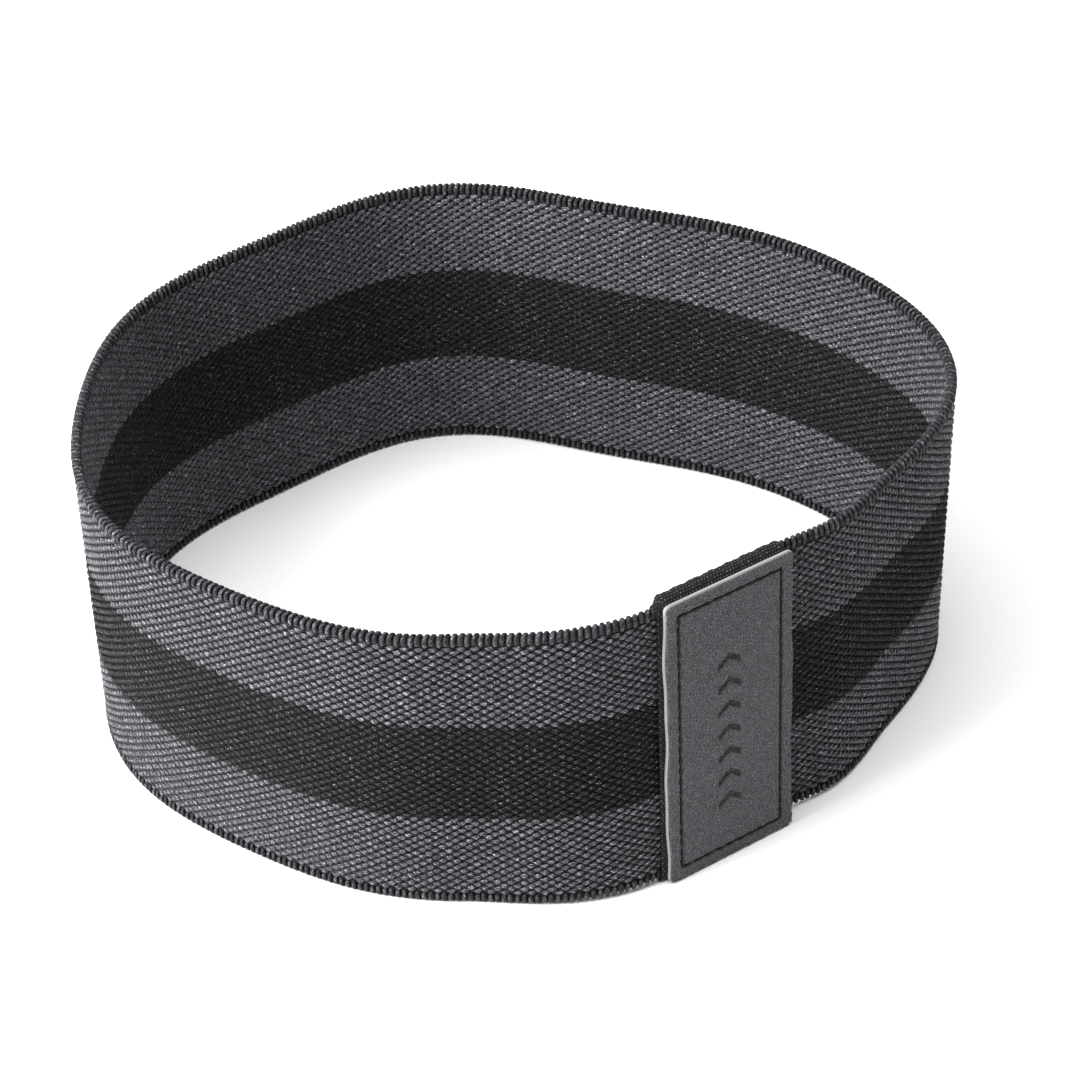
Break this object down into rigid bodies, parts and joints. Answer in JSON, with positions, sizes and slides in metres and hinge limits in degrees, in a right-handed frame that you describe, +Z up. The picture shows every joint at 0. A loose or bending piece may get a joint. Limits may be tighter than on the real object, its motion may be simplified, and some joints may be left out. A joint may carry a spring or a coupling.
{
  "type": "resistance band",
  "caption": "Closed loop of wide striped elastic webbing for leg exercise, standing on edge, its lapped joint bound with knitted tape under a stitched label.",
  "frame": {"origin": "under the middle of the whole band, on the surface that its lower edge stands on", "axes": "+Z up along the webbing's width; the label faces -Y; +X runs along the label's width, to the right as the label is read from the front"},
  "size_m": [0.2078, 0.1912, 0.082],
  "materials": {
    "grey_webbing": "woven, matt, slightly flecked",
    "black_webbing": "woven, matt",
    "selvedge": "ribbed turns of thread",
    "rubber_thread": "matt",
    "joint_tape": "knitted, with fine light flecks",
    "label_core": "raw cut edge",
    "label_face": "fine pebbled grain, satin",
    "sewing_thread": "twisted, slight sheen"
  },
  "bodies": {
    "root": {"outer_face_lower": "grey_webbing", "outer_face_centre": "black_webbing", "outer_face_upper": "grey_webbing", "inner_face_lower": "grey_webbing", "inner_face_centre": "black_webbing", "inner_face_upper": "grey_webbing", "rubber_thread_01": "rubber_thread", "rubber_thread_02": "rubber_thread", "rubber_thread_03": "rubber_thread", "rubber_thread_04": "rubber_thread", "rubber_thread_05": "rubber_thread", "rubber_thread_06": "rubber_thread", "rubber_thread_07": "rubber_thread", "rubber_thread_08": "rubber_thread", "rubber_thread_09": "rubber_thread", "rubber_thread_10": "rubber_thread", "rubber_thread_11": "rubber_thread", "rubber_thread_12": "rubber_thread", "rubber_thread_13": "rubber_thread", "rubber_thread_14": "rubber_thread", "rubber_thread_15": "rubber_thread", "rubber_thread_16": "rubber_thread", "rubber_thread_17": "rubber_thread", "rubber_thread_18": "rubber_thread", "selvedge_bottom": "selvedge", "selvedge_top": "selvedge", "joint_tape": "joint_tape", "label_backing": "label_core", "label_face": "label_face", "needle_thread": "sewing_thread", "bobbin_thread": "sewing_thread"}
  },
  "joints": []
}
